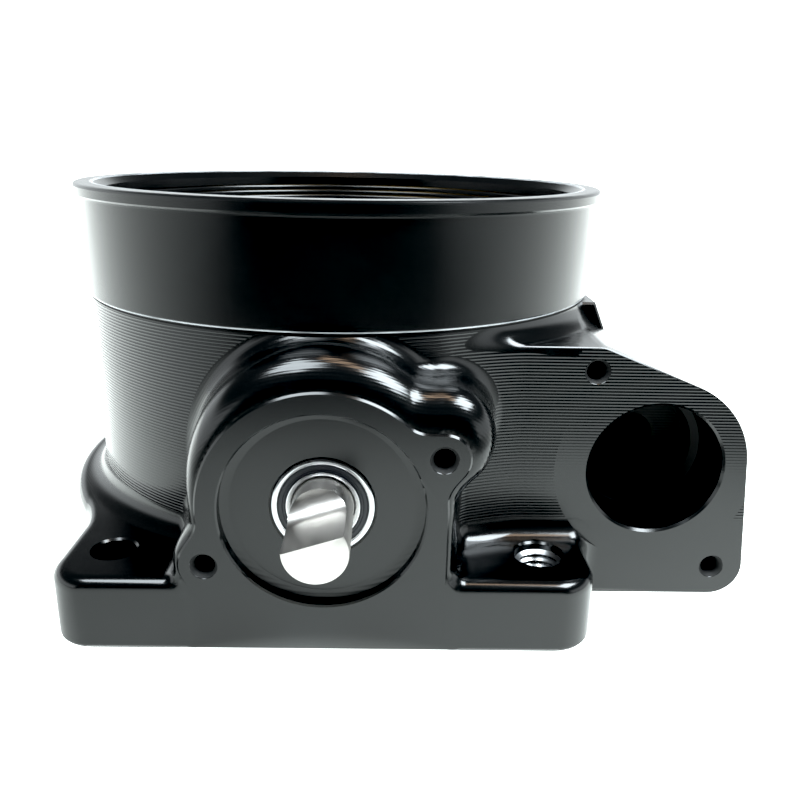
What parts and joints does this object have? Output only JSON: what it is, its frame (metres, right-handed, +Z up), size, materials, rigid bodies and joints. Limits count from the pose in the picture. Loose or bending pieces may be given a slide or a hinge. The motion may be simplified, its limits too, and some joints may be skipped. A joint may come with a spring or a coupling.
{
  "type": "throttle body",
  "caption": "Black machined throttle body with a round inlet tube, square-footed mounting flange, cable-driven butterfly on a shaft in ball bearings, and an idle valve block.",
  "frame": {"origin": "middle of the underside of the whole part, on the flange's gasket face", "axes": "+Z up along the air bore towards the inlet; +Y along the throttle shaft, from the position sensor side to the lever side; +X towards the idle valve"},
  "size_m": [0.1286, 0.1476, 0.069],
  "materials": {
    "anodised_housing": "black anodised, satin machined",
    "insert_steel": "bright stainless wire",
    "bearing_steel": "ground bearing steel",
    "seal_rubber": "smooth black nitrile",
    "shaft_steel": "ground stainless",
    "blade_brass": "machined",
    "screw_steel": "machined",
    "bushing_plastic": "natural acetal",
    "lever_metal": "black anodised",
    "plated_steel": "zinc plated",
    "spring_steel": "drawn spring wire",
    "black_steel": "black oxide"
  },
  "bodies": {
    "housing": {"throttle_housing": "anodised_housing", "flange_thread_insert": "insert_steel", "front_bearing_outer_ring": "bearing_steel", "front_bearing_front_seal": "seal_rubber", "front_bearing_rear_seal": "seal_rubber", "rear_bearing_outer_ring": "bearing_steel", "rear_bearing_front_seal": "seal_rubber", "rear_bearing_rear_seal": "seal_rubber", "spring_anchor_pin": "plated_steel", "idle_stop_screw": "black_steel", "idle_stop_jam_nut": "plated_steel"},
    "throttle": {"throttle_shaft": "shaft_steel", "throttle_blade": "blade_brass", "blade_screw_front": "screw_steel", "blade_screw_rear": "screw_steel", "front_bearing_inner_ring": "bearing_steel", "rear_bearing_inner_ring": "bearing_steel", "spring_bushing": "bushing_plastic", "throttle_lever": "lever_metal", "lever_washer": "plated_steel", "lever_nut": "plated_steel", "return_spring": "spring_steel"},
    "front_cage": {"front_bearing_ball_cage": "bearing_steel"},
    "rear_cage": {"rear_bearing_ball_cage": "bearing_steel"}
  },
  "joints": [
    {"name": "throttle_turn", "type": "hinge", "parent": "housing", "child": "throttle", "pos_m": [-0.00879, -0.0033, 0.0238], "axis": [0, 1, 0], "range_deg": [0, 83], "stiffness_Nm_per_rad": 0.15, "springref_deg": -68.75, "deforming": ["return_spring"]},
    {"name": "front_cage_roll", "type": "hinge", "parent": "housing", "child": "front_cage", "pos_m": [-0.00879, -0.0033, 0.0238], "axis": [0, 1, 0], "range_deg": [0, 37]},
    {"name": "rear_cage_roll", "type": "hinge", "parent": "housing", "child": "rear_cage", "pos_m": [-0.00879, -0.0033, 0.0238], "axis": [0, 1, 0], "range_deg": [0, 37]}
  ],
  "couplings": [
    {"joint": "front_cage_roll", "follows": "throttle_turn", "ratio": 0.4377},
    {"joint": "rear_cage_roll", "follows": "throttle_turn", "ratio": 0.4377}
  ]
}
